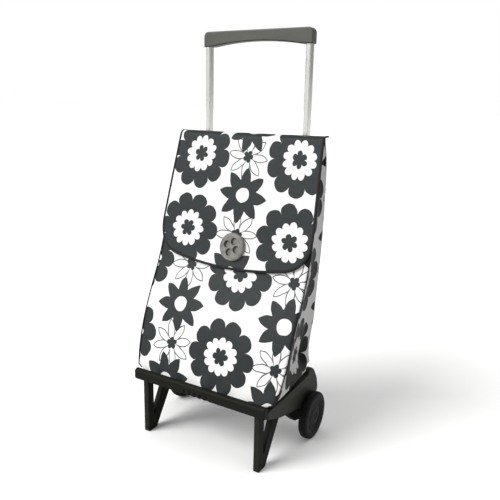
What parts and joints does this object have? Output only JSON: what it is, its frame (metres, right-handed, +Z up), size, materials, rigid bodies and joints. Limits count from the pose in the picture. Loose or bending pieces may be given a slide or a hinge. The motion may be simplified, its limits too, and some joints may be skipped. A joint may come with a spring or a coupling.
{
  "type": "shopping trolley",
  "caption": "Folding two-wheel shopping trolley: printed wedge bag with a buttoned flap on a telescopic handle frame, with V legs under a fold-up platform.",
  "frame": {"origin": "On the floor, under the centre of the trolley's overall width and depth.", "axes": "+Z up; the front of the bag and the legs face -Y; +X is the trolley's right as seen from the front."},
  "size_m": [0.412, 0.274, 0.96],
  "materials": {
    "grip_plastic": "fine grained, warm dark grey",
    "dark_plastic": "moulded, satin, dark olive charcoal",
    "aluminium_tube": "bright drawn profile",
    "steel": "plated",
    "tyre": "matt black, notched tread",
    "wheel_plastic": "dark grey moulded",
    "printed_cloth": "coated white cloth with a large charcoal flower print",
    "side_cloth": "coated white cloth with the same print",
    "black_binding": "black folded tape",
    "clasp_pewter": "mottled stone grey, satin",
    "board": "stiff grey board"
  },
  "bodies": {
    "frame": {"outer_tube_left": "aluminium_tube", "outer_tube_right": "aluminium_tube", "tube_collar_left": "dark_plastic", "tube_collar_right": "dark_plastic", "top_crossbar": "dark_plastic", "hanger_loop_left": "black_binding", "hanger_loop_right": "black_binding", "base_block": "dark_plastic", "tube_pin_left": "steel", "tube_pin_right": "steel", "wheel_bracket_left": "dark_plastic", "wheel_bracket_right": "dark_plastic", "axle": "steel", "axle_clip_left": "steel", "axle_clip_right": "steel", "bag_back_panel": "side_cloth", "bag_gusset_left": "side_cloth", "bag_gusset_right": "side_cloth"},
    "handle": {"grip": "grip_plastic", "inner_tube_left": "aluminium_tube", "inner_tube_right": "aluminium_tube", "grip_pin_left": "steel", "grip_pin_right": "steel", "glide_shoe_left": "dark_plastic", "glide_shoe_right": "dark_plastic"},
    "wheel_left": {"tyre_left": "tyre", "wheel_hub_left": "wheel_plastic", "hub_cap_left": "wheel_plastic"},
    "wheel_right": {"tyre_right": "tyre", "wheel_hub_right": "wheel_plastic", "hub_cap_right": "wheel_plastic"},
    "platform": {"front_bar": "dark_plastic", "side_arm_left": "dark_plastic", "side_arm_right": "dark_plastic", "hinge_pin_left": "steel", "hinge_pin_right": "steel", "front_leg_left": "dark_plastic", "front_leg_right": "dark_plastic", "floor_plate": "dark_plastic", "bag_base_panel": "side_cloth", "bag_base_board": "board"},
    "bag_front": {"bag_front_panel": "printed_cloth", "front_binding_left": "black_binding", "front_binding_right": "black_binding", "clasp_stud": "steel"},
    "flap": {"flap_panel": "printed_cloth", "flap_binding": "black_binding", "clasp_button": "clasp_pewter", "clasp_socket": "steel"}
  },
  "joints": [
    {"name": "handle_slide", "type": "slide", "parent": "frame", "child": "handle", "axis": [0, 0, 1], "range_m": [-0.215, 0]},
    {"name": "wheel_left_spin", "type": "hinge", "parent": "frame", "child": "wheel_left", "pos_m": [-0.195, 0.08, 0.058], "axis": [1, 0, 0], "continuous": true},
    {"name": "wheel_right_spin", "type": "hinge", "parent": "frame", "child": "wheel_right", "pos_m": [0.195, 0.08, 0.058], "axis": [1, 0, 0], "continuous": true},
    {"name": "platform_fold", "type": "hinge", "parent": "frame", "child": "platform", "pos_m": [0, 0.082, 0.14], "axis": [-1, 0, 0], "range_deg": [0, 70], "deforming": ["bag_front_panel", "bag_gusset_left", "bag_gusset_right", "front_binding_left", "front_binding_right"]},
    {"name": "bag_front_swing", "type": "hinge", "parent": "frame", "child": "bag_front", "pos_m": [0, 0.0944, 0.7265], "axis": [1, 0, 0], "range_deg": [0, 12.6]},
    {"name": "flap_lift", "type": "hinge", "parent": "bag_front", "child": "flap", "pos_m": [0, 0.0944, 0.7265], "axis": [-1, 0, 0], "range_deg": [0, 90]}
  ],
  "couplings": [
    {"joint": "bag_front_swing", "follows": "platform_fold", "ratio": 0.18}
  ]
}
